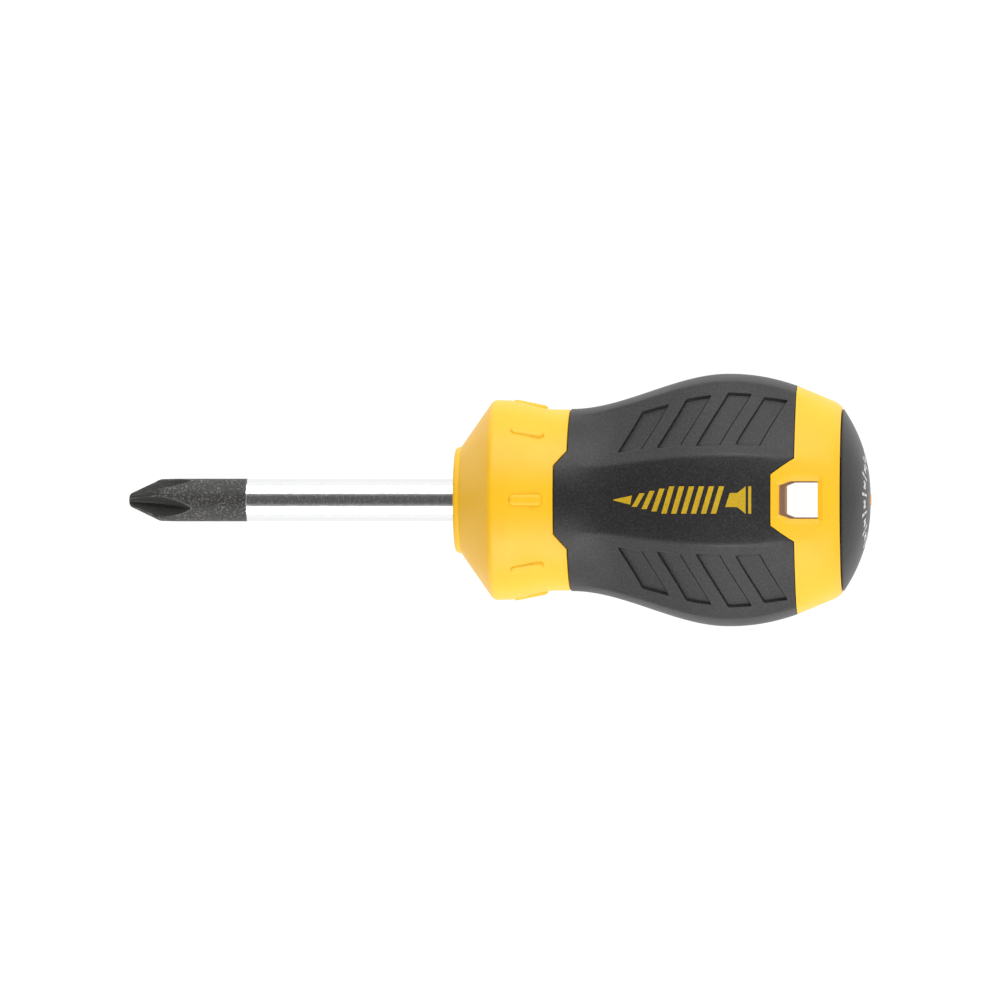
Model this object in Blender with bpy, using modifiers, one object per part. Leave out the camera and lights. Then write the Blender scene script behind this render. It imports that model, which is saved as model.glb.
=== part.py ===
"""Stubby cross-head screwdriver with a short steel blade and a moulded, bulging handle.

The tool lies along +X. Its point is at the origin, the rear dome of the handle is at the far end,
and the flat panel with the hanging hole faces +Z. Angles round the handle are measured from +Z
towards +Y. Sizes are millimetres, turned into metres where points are made.
"""

import math

import bmesh
import bpy
from mathutils import Matrix, Vector

MM = 0.001
CIRCLE_SIDES = 48
GAP = 0.3  # clearance between neighbouring pieces
REACH = 22.0  # half height of a cutter that passes right through the handle

# Blade
BLADE_RADIUS = 3.0
BLADE_EXPOSED = 45.0
BLADE_END = 80.0
POINT_RADIUS = 0.85
POINT_ANGLE = math.radians(26.5)  # half angle of the cone at the point
FLUTE_END = 9.6
FLUTE_ANGLE = math.radians(-23)  # the first of four flutes, 90 degrees apart
FLUTE_HALF_ANGLE = math.radians(46)
WING_START, WING_END = 62.0, 74.0
WING_WIDTH, WING_THICKNESS = 9.0, 2.2

# Handle outline: stations along X, and radii
NOSE = BLADE_EXPOSED
NOSE_STEP = NOSE + 0.8
CONE_END = 50.15
GRIP_START = 60.8
BELLY = 82.7
BAND_START = 91.8
SHOULDER = 96.8
CAP_START = 98.05
TOOL_END = 102.0
WAIST_RADIUS = 12.5
BELLY_RADIUS = 17.3
BAND_RADIUS = 15.68
SHOULDER_RADIUS = 13.6
CAP_RADIUS = 12.72
WALL = 2.2  # thickness of the grip and of the rear band

# Flats pressed into the round handle, as shares of its radius
PANEL_DEPTH = 0.968  # height of the crown at the front and at the back
PANEL_CROWN = 0.2685
PANEL_FLAT = 0.953  # level strip along the middle of the crown, which the tool lies on
FLANK_DEPTH = 0.9135  # centre of the flat flank at 45 degrees
EDGE_SOFTNESS = 0.02

# Interlocking outlines seen from the front: x, half width at its end, x, half width at its root
TONGUE = (59.0, 4.63, 60.8, 6.66)
FRAME = (88.64, 3.46, 91.8, 5.64)

# Hanging hole through the frame, at its rim, with two cut corners at the blade's side
HOLE_START, HOLE_END = 89.8, 95.1
HOLE_HALF_WIDTH = 2.64
HOLE_CORNER = (1.5, 0.6)
HOLE_DRAFT = math.radians(1.0)
HOLE_CHAMFER = 0.7

# Slanted slots in the four flanks
SLOT_COUNT = 4
SLOT_START, SLOT_PITCH, SLOT_WIDTH = 67.8, 5.37, 3.2
SLOT_LOW, SLOT_HIGH = 0.443, 0.845  # ends, as shares of the radius above the middle plane
SLOT_LEAN = 0.545
SLOT_DEPTH = 0.65

# Collar
COLLAR_BORE = 10.3
RIB_COUNT = 8
RIB_START, RIB_END = 53.0, 57.7
RIB_TOP = (13.68, 12.72)  # radius at the start and at the end
RIB_WIDTH = 1.5

# Cap
SPIGOT_RADIUS, SPIGOT_LENGTH = 6.0, 1.2
DOT_RADIUS, DOT_LENGTH = 0.8, 2.4


def smooth(t):
    t = min(max(t, 0.0), 1.0)
    return t * t * (3 - 2 * t)


def handle_radius(x):
    """Outer radius of the grip and the band, before the flats are pressed in."""
    if x < BELLY:
        rise = smooth((x - GRIP_START - 0.2) / (BELLY - GRIP_START - 0.5))
        return WAIST_RADIUS + (BELLY_RADIUS - WAIST_RADIUS) * rise
    if x < BAND_START:
        t = (x - BELLY) / (BAND_START - BELLY)
        return BELLY_RADIUS - (BELLY_RADIUS - BAND_RADIUS) * t * t
    if x < SHOULDER:
        t = (x - BAND_START) / (SHOULDER - BAND_START)
        return BAND_RADIUS - (BAND_RADIUS - SHOULDER_RADIUS) * t
    t = (x - SHOULDER) / (CAP_START - SHOULDER)
    return SHOULDER_RADIUS - (SHOULDER_RADIUS - CAP_RADIUS) * (0.6 * t + 0.4 * t * t)


def soft_min(a, b, softness):
    h = max(softness - abs(a - b), 0.0) / softness
    return min(a, b) - h * h * softness / 4


def flat_section(angle):
    """Radius of the fully flattened section, as a share of the round one."""
    angle = abs(math.remainder(angle, math.pi))
    s, c = math.sin(angle), max(math.cos(angle), 1e-6)
    k = PANEL_CROWN * s * s
    panel = PANEL_DEPTH / c if k < 1e-6 else (math.sqrt(c * c + 4 * k * PANEL_DEPTH) - c) / (2 * k)
    panel = min(panel, PANEL_FLAT / c)
    flank = FLANK_DEPTH / max(math.cos(angle - math.pi / 4), 0.3)
    return soft_min(soft_min(panel, flank, EDGE_SOFTNESS), 1.0, EDGE_SOFTNESS)


def flatness(x):
    """How far the flats are pressed in at a station: 0 is round and 1 is fully flat."""
    return smooth((x - GRIP_START) / 6.7) * (1 - smooth((x - 86.0) / 11.0))


def pressed_depth(x, angle):
    return handle_radius(x) * (1 - flat_section(angle)) * flatness(x)


def surface_point(x, angle, lift=0.0):
    """A point on the handle's skin, raised by lift, in metres."""
    radius = handle_radius(x) - pressed_depth(x, angle) + lift
    return Vector((x, radius * math.sin(angle), radius * math.cos(angle))) * MM


def collection(name):
    made = bpy.data.collections.new(name)
    bpy.context.scene.collection.children.link(made)
    return made


def material(name, colour, roughness, metallic=0.0):
    made = bpy.data.materials.new(name)
    made.use_nodes = True
    shader = made.node_tree.nodes["Principled BSDF"]
    shader.inputs["Base Color"].default_value = (*colour, 1.0)
    shader.inputs["Roughness"].default_value = roughness
    shader.inputs["Metallic"].default_value = metallic
    return made


def add_object(name, mesh, home, finish=None):
    obj = bpy.data.objects.new(name, mesh)
    home.objects.link(obj)
    if finish:
        mesh.materials.append(finish)
    else:
        obj.hide_render = True
        obj.display_type = "WIRE"
    return obj


def shade(mesh):
    mesh.shade_smooth()
    mesh.set_sharp_from_angle(angle=math.radians(32))


def turned(name, profile, home, finish=None, closed=False):
    """A turned solid about the X axis. profile is (x, radius) pairs, rear to front along the outside."""
    mesh = bpy.data.meshes.new(name)
    points = [Vector((radius, 0, x)) * MM for x, radius in profile]
    edges = [(i, i + 1) for i in range(len(points) - 1)]
    if closed:
        edges.append((len(points) - 1, 0))
    mesh.from_pydata(points, edges, [])
    obj = add_object(name, mesh, home, finish)
    obj.rotation_euler = (0, math.pi / 2, 0)
    screw = obj.modifiers.new("turn", "SCREW")
    screw.steps = screw.render_steps = CIRCLE_SIDES
    screw.use_merge_vertices = True
    screw.merge_threshold = 0.00001
    screw.use_smooth_shade = True
    return obj


def settled(obj):
    """The object with its modifiers applied and its place moved into its mesh."""
    bpy.context.view_layer.update()
    evaluated = obj.evaluated_get(bpy.context.evaluated_depsgraph_get())
    mesh = bpy.data.meshes.new_from_object(evaluated)
    mesh.transform(obj.matrix_world)
    obj.modifiers.clear()
    obj.data = mesh
    obj.matrix_world = Matrix.Identity(4)
    return obj


def press_flats(obj):
    """Pushes the outer skin and the wall behind it inwards, so that the wall keeps its thickness."""
    settled(obj)
    for vertex in obj.data.vertices:
        x, y, z = vertex.co / MM
        radius = math.hypot(y, z)
        if radius < 0.55 * handle_radius(x):
            continue
        angle = math.atan2(y, z)
        radius -= pressed_depth(x, angle)
        vertex.co = Vector((x, radius * math.sin(angle), radius * math.cos(angle))) * MM
    return obj


def stations(start, end, count):
    return [start + (end - start) * i / count for i in range(count + 1)]


def plate(name, outline, half_height, home):
    """A flat outline in the XY plane, made solid by half_height to each side, as a mesh."""
    curve = bpy.data.curves.new(name, "CURVE")
    curve.dimensions = "2D"
    curve.fill_mode = "BOTH"
    curve.extrude = half_height * MM
    spline = curve.splines.new("POLY")
    spline.points.add(len(outline) - 1)
    for point, (x, y) in zip(spline.points, outline):
        point.co = (x * MM, y * MM, 0, 1)
    spline.use_cyclic_u = True
    guide = bpy.data.objects.new(name + "_outline", curve)
    home.objects.link(guide)
    bpy.context.view_layer.update()
    evaluated = guide.evaluated_get(bpy.context.evaluated_depsgraph_get())
    mesh = bpy.data.meshes.new_from_object(evaluated)
    matrix = guide.matrix_world.copy()
    bpy.data.objects.remove(guide)
    bm = bmesh.new()
    bm.from_mesh(mesh)
    bmesh.ops.remove_doubles(bm, verts=bm.verts, dist=0.000001)
    bmesh.ops.recalc_face_normals(bm, faces=bm.faces)
    bm.to_mesh(mesh)
    bm.free()
    obj = add_object(name, mesh, home)
    obj.matrix_world = matrix
    return obj


def loft(name, layers, home):
    """A closed solid through rings of equal length, capped at both ends. Points are in millimetres."""
    mesh = bpy.data.meshes.new(name)
    bm = bmesh.new()
    rings = [[bm.verts.new(Vector(point) * MM) for point in layer] for layer in layers]
    for low, high in zip(rings, rings[1:]):
        for i in range(len(low)):
            j = (i + 1) % len(low)
            bm.faces.new((low[i], low[j], high[j], high[i]))
    bm.faces.new(rings[0])
    bm.faces.new(rings[-1])
    bmesh.ops.recalc_face_normals(bm, faces=bm.faces)
    bm.to_mesh(mesh)
    bm.free()
    return add_object(name, mesh, home)


def boolean(obj, other, operation="DIFFERENCE"):
    modifier = obj.modifiers.new(f"{operation.lower()}_{other.name}", "BOOLEAN")
    modifier.operation = operation
    modifier.solver = "EXACT"
    if isinstance(other, bpy.types.Collection):
        modifier.operand_type = "COLLECTION"
        modifier.collection = other
    else:
        modifier.object = other


def flute_root(x):
    """Height of a flute's bottom over the blade's axis: it climbs ever faster until it runs out."""
    return 0.4 + 0.078 * x + 0.00276 * x**3


def make_blade(home, cutters, steel):
    cone_length = (BLADE_RADIUS - POINT_RADIUS) / math.tan(POINT_ANGLE)
    blade = turned(
        "blade",
        [
            (BLADE_END, 0),
            (BLADE_END, BLADE_RADIUS - 0.5),
            (BLADE_END - 0.5, BLADE_RADIUS),
            (cone_length + 0.25, BLADE_RADIUS),
            (cone_length - 0.05, BLADE_RADIUS - 0.1),
            (0.12, POINT_RADIUS),
            (0, POINT_RADIUS - 0.22),
            (0, 0),
        ],
        home,
        steel,
    )
    half_floor, arm = 0.16, 4.0
    for i in range(4):
        angle = FLUTE_ANGLE + i * math.pi / 2
        out = Vector((0, math.sin(angle), math.cos(angle)))
        side = Vector((0, math.cos(angle), -math.sin(angle)))
        layers = []
        for x in stations(-1.0, FLUTE_END, 8):
            root = Vector((x, 0, 0)) + out * flute_root(max(x, 0.0))
            spread = half_floor + arm * math.tan(FLUTE_HALF_ANGLE)
            layers.append(
                [
                    root - side * half_floor,
                    root + side * half_floor,
                    root + out * arm + side * spread,
                    root + out * arm - side * spread,
                ]
            )
        boolean(blade, loft(f"flute_cutter_{i + 1}", layers, cutters))
    boolean(blade, plate("blade_wings", wing_outline(0), WING_THICKNESS / 2, cutters), "UNION")
    return blade


def wing_outline(margin):
    """Outline of the two wings pressed out of the blade, grown by margin."""
    wide, narrow, slope = WING_WIDTH / 2 + margin, BLADE_RADIUS - 0.6 + margin, 2.0
    side = [
        (WING_START - margin, narrow),
        (WING_START + slope, wide),
        (WING_END - slope, wide),
        (WING_END + margin, narrow),
    ]
    return side + [(x, -y) for x, y in reversed(side)]


def hole_outline(grow, z):
    """Corners of the hanging hole at height z, grown by grow."""
    x0, x1 = HOLE_START - grow, HOLE_END + grow
    w = HOLE_HALF_WIDTH + grow
    cut_x, cut_y = HOLE_CORNER
    side = [(x0, w - cut_y), (x0 + cut_x, w), (x1, w)]
    return [(x, y, z) for x, y in side] + [(x, -y, z) for x, y in reversed(side)]


def panel_height(x):
    return handle_radius(x) - pressed_depth(x, 0.0)


def make_hole_cutters(cutters):
    """The drafted hole, narrowest at the middle plane, and a chamfer at each rim."""
    rim_height = panel_height((HOLE_START + HOLE_END) / 2)
    draft = math.tan(HOLE_DRAFT)
    layers = [hole_outline((abs(z) - rim_height) * draft, z) for z in (-REACH, 0, REACH)]
    hole = loft("hanging_hole_cutter", layers, cutters)
    rims = []
    for side in (1, -1):
        layers = []
        for grow, lift in ((-0.3, -1.0), (1.7, 1.0)):
            ring = hole_outline(grow * HOLE_CHAMFER, 0)
            height = lift * HOLE_CHAMFER
            layers.append([(x, y, side * (panel_height(x) + height)) for x, y, _ in ring])
        rims.append(loft(f"rim_cutter_{'front' if side > 0 else 'back'}", layers, cutters))
    return hole, rims


def make_core(home, cutters, hole, plastic):
    """Hard inner moulding, from inside the collar to the cap, moulded round the blade's wings."""
    skin = WALL + GAP
    rear = CAP_START - GAP
    outside = [(x, handle_radius(x) - skin) for x in stations(rear, GRIP_START + 0.4, 15)]
    core = turned(
        "core",
        [
            (rear - SPIGOT_LENGTH - GAP, 0),
            (rear - SPIGOT_LENGTH - GAP, SPIGOT_RADIUS + GAP),
            (rear, SPIGOT_RADIUS + GAP),
            *outside,
            (CONE_END + 1.9, COLLAR_BORE - GAP),
            (NOSE + 2.2 + GAP, 6.0),
            (NOSE + 2.2 + GAP, 0),
        ],
        home,
        plastic,
    )
    press_flats(core)
    bore = turned(
        "blade_bore_cutter",
        [
            (BLADE_END + GAP, 0),
            (BLADE_END + GAP, BLADE_RADIUS + GAP),
            (NOSE, BLADE_RADIUS + GAP),
            (NOSE, 0),
        ],
        cutters,
    )
    pocket = plate("wing_pocket_cutter", wing_outline(GAP), WING_THICKNESS / 2 + GAP, cutters)
    for cutter in (bore, pocket, hole):
        boolean(core, cutter)
    return core


def make_collar(home, cutters, plastic):
    """Nose collar: a small face, a steep cone and a tapering barrel with eight short ribs."""
    end = GRIP_START - GAP / 2
    collar = turned(
        "nose_collar",
        [
            (end, COLLAR_BORE),
            (end, 12.45),
            (58.0, 12.45),
            (56.0, 12.75),
            (54.0, 13.2),
            (52.6, 13.5),
            (51.4, 13.62),
            (CONE_END + 0.5, 13.6),
            (CONE_END, 13.4),
            (NOSE_STEP, 7.35),
            (NOSE_STEP, 7.2),
            (NOSE + 0.4, 7.1),
            (NOSE + 0.1, 6.85),
            (NOSE, 6.4),
            (NOSE, BLADE_RADIUS + GAP),
            (NOSE + 2.2, BLADE_RADIUS + GAP),
            (NOSE + 2.2, 6.15),
            (CONE_END + 1.75, COLLAR_BORE),
        ],
        home,
        plastic,
        closed=True,
    )
    x0, w0, x1, w1 = TONGUE
    lean = (w1 - w0) / (x1 - x0)
    x0, far = x0 - GAP / 2, GRIP_START + 1.0
    w0, w_far = w0 + 0.1, w0 + 0.1 + (far - x0) * lean
    notch = plate("notch_cutter", [(x0, -w0), (far, -w_far), (far, w_far), (x0, w0)], REACH, cutters)
    boolean(collar, notch)
    ribs = collection("collar_ribs")
    tilt = math.atan2(RIB_TOP[0] - RIB_TOP[1], RIB_END - RIB_START)
    depth = 1.2
    middle = Vector(((RIB_START + RIB_END) / 2, 0, sum(RIB_TOP) / 2 - depth / 2))
    for i in range(RIB_COUNT):
        rib = add_object(f"rib_{i + 1}", rib_mesh(depth), ribs)
        turn = Matrix.Rotation(-i * 2 * math.pi / RIB_COUNT, 4, "X")
        place = Matrix.Translation(middle * MM) @ Matrix.Rotation(tilt, 4, "Y")
        rib.matrix_world = turn @ place
    boolean(collar, ribs, "UNION")
    return collar


def rib_mesh(depth):
    """One rib: a block with rounded ends and a soft top edge."""
    mesh = bpy.data.meshes.new("rib")
    bm = bmesh.new()
    bmesh.ops.create_cube(bm, size=1.0)
    bmesh.ops.scale(bm, vec=Vector((RIB_END - RIB_START, RIB_WIDTH, depth)) * MM, verts=bm.verts)
    upright = [e for e in bm.edges if abs(e.verts[0].co.z - e.verts[1].co.z) > 0.0001]
    bmesh.ops.bevel(bm, geom=upright, offset=0.5 * MM, segments=3, affect="EDGES", profile=0.5)
    bm.to_mesh(mesh)
    bm.free()
    return mesh


def shell(name, start, end, count, home, finish):
    """A piece of the handle's skin, WALL thick, with its flats pressed in."""
    along = stations(start, end, count)
    profile = [(x, handle_radius(x)) for x in reversed(along)]
    profile += [(x, handle_radius(x) - WALL) for x in along]
    return press_flats(turned(name, profile, home, finish, closed=True))


def side_trims(name, outline, before, gap, cutters):
    """Two cutters, left and right, that leave a tongue with slanting sides standing at a shell's front."""
    x0, w0, x1, w1 = outline
    lean = (w1 - w0) / (x1 - x0)
    x1 += gap / 2
    w1 -= 0.05
    w_before = w1 - (x1 - before) * lean
    made = []
    for side in (1, -1):
        corners = [(before, w_before), (x1, w1), (x1, REACH), (before, REACH)]
        corners = [(x, side * y) for x, y in corners]
        label = "left" if side > 0 else "right"
        made.append(plate(f"{name}_{label}", corners, REACH, cutters))
    return made


def slot_cutter(number, quarter, cutters):
    """A patch of the flank's skin, sunk to the slot's depth and thickened outwards."""
    low_angle, high_angle = [
        math.atan2(share, FLANK_DEPTH * math.sqrt(2) - share) for share in (SLOT_LOW, SLOT_HIGH)
    ]
    mesh = bpy.data.meshes.new("slot")
    bm = bmesh.new()
    bmesh.ops.create_grid(bm, x_segments=2, y_segments=4, size=0.5)
    mirror_y = 1 if quarter in (0, 3) else -1
    mirror_z = 1 if quarter in (0, 1) else -1
    for vertex in bm.verts:
        across, up = vertex.co.x + 0.5, vertex.co.y + 0.5
        angle = low_angle + (high_angle - low_angle) * up
        x = SLOT_START + number * SLOT_PITCH + SLOT_WIDTH * across
        start_height = handle_radius(x) * SLOT_LOW
        height = surface_point(x, angle).y / MM
        x += SLOT_LEAN * (height - start_height)
        point = surface_point(x, angle, -SLOT_DEPTH)
        vertex.co = (point.x, point.y * mirror_y, point.z * mirror_z)
    if mirror_y * mirror_z < 0:
        bmesh.ops.reverse_faces(bm, faces=bm.faces)
    bm.to_mesh(mesh)
    bm.free()
    cutter = add_object(f"slot_cutter_{quarter + 1}_{number + 1}", mesh, cutters)
    thicken = cutter.modifiers.new("thicken", "SOLIDIFY")
    thicken.thickness = 2.0 * MM
    thicken.offset = 1.0
    thicken.use_even_offset = True
    return cutter


def make_grip(home, cutters, rubber):
    """Soft grip over the core, with a tongue at each panel, a notch for the frame and sixteen slots."""
    grip = shell("grip", TONGUE[0] + GAP / 2, BAND_START - GAP / 2, 17, home, rubber)
    for cutter in side_trims("grip_trim", TONGUE, TONGUE[0] - 2, GAP, cutters):
        boolean(grip, cutter)
    x0, w0, x1, w1 = FRAME
    lean = (w1 - w0) / (x1 - x0)
    x0, far = x0 - GAP / 2, BAND_START + 1.5
    w0, w_far = w0 + 0.1, w0 + 0.1 + (far - x0) * lean
    corners = [(x0, -w0), (far, -w_far), (far, w_far), (x0, w0)]
    boolean(grip, plate("frame_notch_cutter", corners, REACH, cutters))
    slots = collection("grip_slots")
    for quarter in range(4):
        for number in range(SLOT_COUNT):
            slot_cutter(number, quarter, slots)
    boolean(grip, slots)
    return grip


def make_band(home, cutters, hole, rims, plastic):
    """Rear band, with the frame of the hanging hole reaching into the grip's panels."""
    band = shell("rear_band", FRAME[0] + GAP / 2, CAP_START - GAP / 2, 9, home, plastic)
    for cutter in side_trims("band_trim", FRAME, FRAME[0] - 2, GAP, cutters):
        boolean(band, cutter)
    boolean(band, hole)
    for rim in rims:
        boolean(band, rim)
    return band


def dome_x(radius):
    """Station of the cap's dome at a distance from the axis: part of a sphere."""
    height = TOOL_END - CAP_START
    sphere = (CAP_RADIUS**2 + height**2) / (2 * height)
    return TOOL_END - sphere + math.sqrt(sphere**2 - radius**2)


def make_cap(home, plastic):
    """Domed end cap with a locating spigot and a small blind hole for the colour dot."""
    front = CAP_START + GAP / 2
    bore = DOT_RADIUS + GAP
    rim_radius = CAP_RADIUS - 0.2
    dome = [(dome_x(radius), radius) for radius in stations(bore, rim_radius, 9)]
    return turned(
        "end_cap",
        [
            (TOOL_END - DOT_LENGTH - GAP, 0),
            (TOOL_END - DOT_LENGTH - GAP, bore),
            *dome,
            (front, rim_radius),
            (front, SPIGOT_RADIUS),
            (front - SPIGOT_LENGTH, SPIGOT_RADIUS - 0.2),
            (front - SPIGOT_LENGTH, 0),
        ],
        home,
        plastic,
    )


def make_dot(home, plastic):
    """Colour dot: a small pin with a flat head, level with the top of the dome."""
    rear, front = TOOL_END, TOOL_END - DOT_LENGTH
    profile = [(rear, 0), (rear, DOT_RADIUS - 0.1), (rear - 0.1, DOT_RADIUS)]
    return turned("colour_dot", profile + [(front, DOT_RADIUS), (front, 0)], home, plastic)


def main():
    for obj in list(bpy.data.objects):
        bpy.data.objects.remove(obj)
    home = collection("stubby_screwdriver")
    cutters = collection("cutters")
    steel = material("blade_steel", (0.75, 0.76, 0.78), 0.12, 1.0)
    core_plastic = material("core_plastic", (0.045, 0.035, 0.03), 0.45)
    yellow_plastic = material("yellow_plastic", (0.95, 0.52, 0.02), 0.42)
    grip_rubber = material("grip_rubber", (0.035, 0.034, 0.035), 0.75)
    cap_plastic = material("cap_plastic", (0.03, 0.03, 0.03), 0.35)
    dot_plastic = material("dot_plastic", (0.9, 0.25, 0.02), 0.35)
    hole, rims = make_hole_cutters(cutters)
    pieces = [
        make_blade(home, cutters, steel),
        make_core(home, cutters, hole, core_plastic),
        make_collar(home, cutters, yellow_plastic),
        make_grip(home, cutters, grip_rubber),
        make_band(home, cutters, hole, rims, yellow_plastic),
        make_cap(home, cap_plastic),
        make_dot(home, dot_plastic),
    ]
    for piece in pieces:
        shade(piece.data)


main()
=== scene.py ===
import math

import bmesh
import bpy
from mathutils import Matrix, Vector


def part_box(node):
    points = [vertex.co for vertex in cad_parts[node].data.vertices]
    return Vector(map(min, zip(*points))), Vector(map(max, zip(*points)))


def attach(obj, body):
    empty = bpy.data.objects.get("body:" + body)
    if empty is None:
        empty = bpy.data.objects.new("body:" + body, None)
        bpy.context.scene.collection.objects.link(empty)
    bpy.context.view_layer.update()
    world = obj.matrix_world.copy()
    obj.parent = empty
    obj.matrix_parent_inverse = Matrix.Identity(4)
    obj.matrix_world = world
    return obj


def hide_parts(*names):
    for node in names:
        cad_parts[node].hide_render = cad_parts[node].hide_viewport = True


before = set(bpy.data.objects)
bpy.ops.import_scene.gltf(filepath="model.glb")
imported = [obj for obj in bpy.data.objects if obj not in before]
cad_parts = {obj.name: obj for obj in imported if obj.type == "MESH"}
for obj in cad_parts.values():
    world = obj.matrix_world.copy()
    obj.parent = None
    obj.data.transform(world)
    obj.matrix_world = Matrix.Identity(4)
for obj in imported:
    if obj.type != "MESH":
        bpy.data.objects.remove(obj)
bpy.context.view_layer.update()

# Lengths below are millimetres. Angles round the tool start at +Z, the printed panel, and turn towards +Y.
mm = 0.001
print("frame loaded:", ", ".join(sorted(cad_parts)))


def boxMm(node):
    low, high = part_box(node)
    return low / mm, high / mm


def smooth(t):
    t = min(max(t, 0.0), 1.0)
    return t * t * (3 - 2 * t)


def mix(a, b, t):
    return a + (b - a) * t


def spaced(start, end, count, last=True):
    return [mix(start, end, i / count) for i in range(count + (1 if last else 0))]


def softMin(a, b, width):
    h = max(width - abs(a - b), 0.0) / width
    return min(a, b) - h * h * width / 4


def around(x, angle, radius):
    return Vector((x, radius * math.sin(angle), radius * math.cos(angle))) * mm


# Materials: helpers first, then one shared recipe for moulded plastic and one for the blade.
def newGroup(name, inputs, outputs):
    tree = bpy.data.node_groups.new(name, "ShaderNodeTree")
    for label, kind, value in inputs:
        socket = tree.interface.new_socket(label, in_out="INPUT", socket_type="NodeSocket" + kind)
        if value is not None:
            socket.default_value = value
    for label, kind in outputs:
        tree.interface.new_socket(label, in_out="OUTPUT", socket_type="NodeSocket" + kind)
    return tree, tree.nodes.new("NodeGroupInput"), tree.nodes.new("NodeGroupOutput")


def addNode(tree, kind, values=None, **settings):
    node = tree.nodes.new("ShaderNode" + kind)
    for key, value in settings.items():
        setattr(node, key, value)
    for key, value in (values or {}).items():
        node.inputs[key].default_value = value
    return node


# Joins a value to a socket if it comes from another node, and sets it if it is a constant.
def feed(tree, socket, value):
    if hasattr(value, "links"):
        tree.links.new(value, socket)
    else:
        socket.default_value = value


def math2(tree, operation, a, b):
    node = addNode(tree, "Math", operation=operation)
    for socket, value in zip(node.inputs, (a, b)):
        feed(tree, socket, value)
    return node.outputs[0]


def remap(tree, value, fromLow, fromHigh, toLow, toHigh, kind="LINEAR"):
    node = addNode(tree, "MapRange", interpolation_type=kind)
    for key, end in (("From Min", fromLow), ("From Max", fromHigh), ("To Min", toLow), ("To Max", toHigh)):
        feed(tree, node.inputs[key], end)
    tree.links.new(value, node.inputs["Value"])
    return node.outputs["Result"]


# The spark-eroded grain of a mould: its height, fine noise for specks, and a slow patch for drifts of tone.
def makeMouldGrain():
    tree, given, put = newGroup(
        "mouldGrain",
        [("Vector", "Vector", None), ("Grain Size", "Float", 0.00018), ("Patch Size", "Float", 0.004)],
        [("Height", "Float"), ("Fine", "Float"), ("Patch", "Float")],
    )
    fineScale = math2(tree, "DIVIDE", 0.6, given.outputs["Grain Size"])
    patchScale = math2(tree, "DIVIDE", 1.0, given.outputs["Patch Size"])
    fine = addNode(tree, "TexNoise", {"Detail": 3.0, "Roughness": 0.6})
    speck = addNode(tree, "TexVoronoi", {"Randomness": 1.0})
    patch = addNode(tree, "TexNoise", {"Detail": 4.0, "Roughness": 0.55, "Distortion": 0.3})
    for node, scale in ((fine, fineScale), (speck, fineScale), (patch, patchScale)):
        tree.links.new(given.outputs["Vector"], node.inputs["Vector"])
        tree.links.new(scale, node.inputs["Scale"])
    pits = remap(tree, speck.outputs["Distance"], 0.0, 0.7, 0.0, 1.0)
    height = math2(tree, "MULTIPLY", math2(tree, "ADD", fine.outputs["Fac"], pits), 0.5)
    tree.links.new(height, put.inputs["Height"])
    tree.links.new(fine.outputs["Fac"], put.inputs["Fine"])
    tree.links.new(remap(tree, patch.outputs["Fac"], 0.3, 0.7, 0.0, 1.0), put.inputs["Patch"])
    return tree


# Satin flecks left by polishing a turned blade, a little longer in one direction than in the others.
def makePolishLines():
    tree, given, put = newGroup(
        "polishLines",
        [("Vector", "Vector", None), ("Stretch", "Vector", (1.0, 1.0, 1.0)), ("Line Size", "Float", 0.0001)],
        [("Height", "Float")],
    )
    stretched = addNode(tree, "VectorMath", operation="MULTIPLY")
    tree.links.new(given.outputs["Vector"], stretched.inputs[0])
    tree.links.new(given.outputs["Stretch"], stretched.inputs[1])
    lines = addNode(tree, "TexNoise", {"Detail": 5.0, "Roughness": 0.7})
    tree.links.new(stretched.outputs[0], lines.inputs["Vector"])
    tree.links.new(math2(tree, "DIVIDE", 1.0, given.outputs["Line Size"]), lines.inputs["Scale"])
    tree.links.new(lines.outputs["Fac"], put.inputs["Height"])
    return tree


mouldGrain = makeMouldGrain()
polishLines = makePolishLines()


def newMaterial(name):
    made = bpy.data.materials.new(name)
    made.use_nodes = True
    tree = made.node_tree
    coordinates = tree.nodes.new("ShaderNodeTexCoord").outputs["Object"]
    return made, tree, tree.nodes["Principled BSDF"], coordinates


def addGroup(tree, group, coordinates, **values):
    node = tree.nodes.new("ShaderNodeGroup")
    node.node_tree = group
    tree.links.new(coordinates, node.inputs["Vector"])
    for key, value in values.items():
        node.inputs[key.replace("_", " ")].default_value = value
    return node


def blendColours(tree, mask, low, high):
    node = addNode(tree, "Mix", data_type="RGBA")
    for socket, value in ((node.inputs[0], mask), (node.inputs[6], low), (node.inputs[7], high)):
        feed(tree, socket, (*value, 1.0) if isinstance(value, tuple) else value)
    return node.outputs[2]


def addBump(tree, shader, height, strength, distance):
    bump = addNode(tree, "Bump", {"Strength": strength, "Distance": distance})
    tree.links.new(height, bump.inputs["Height"])
    tree.links.new(bump.outputs["Normal"], shader.inputs["Normal"])


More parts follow.
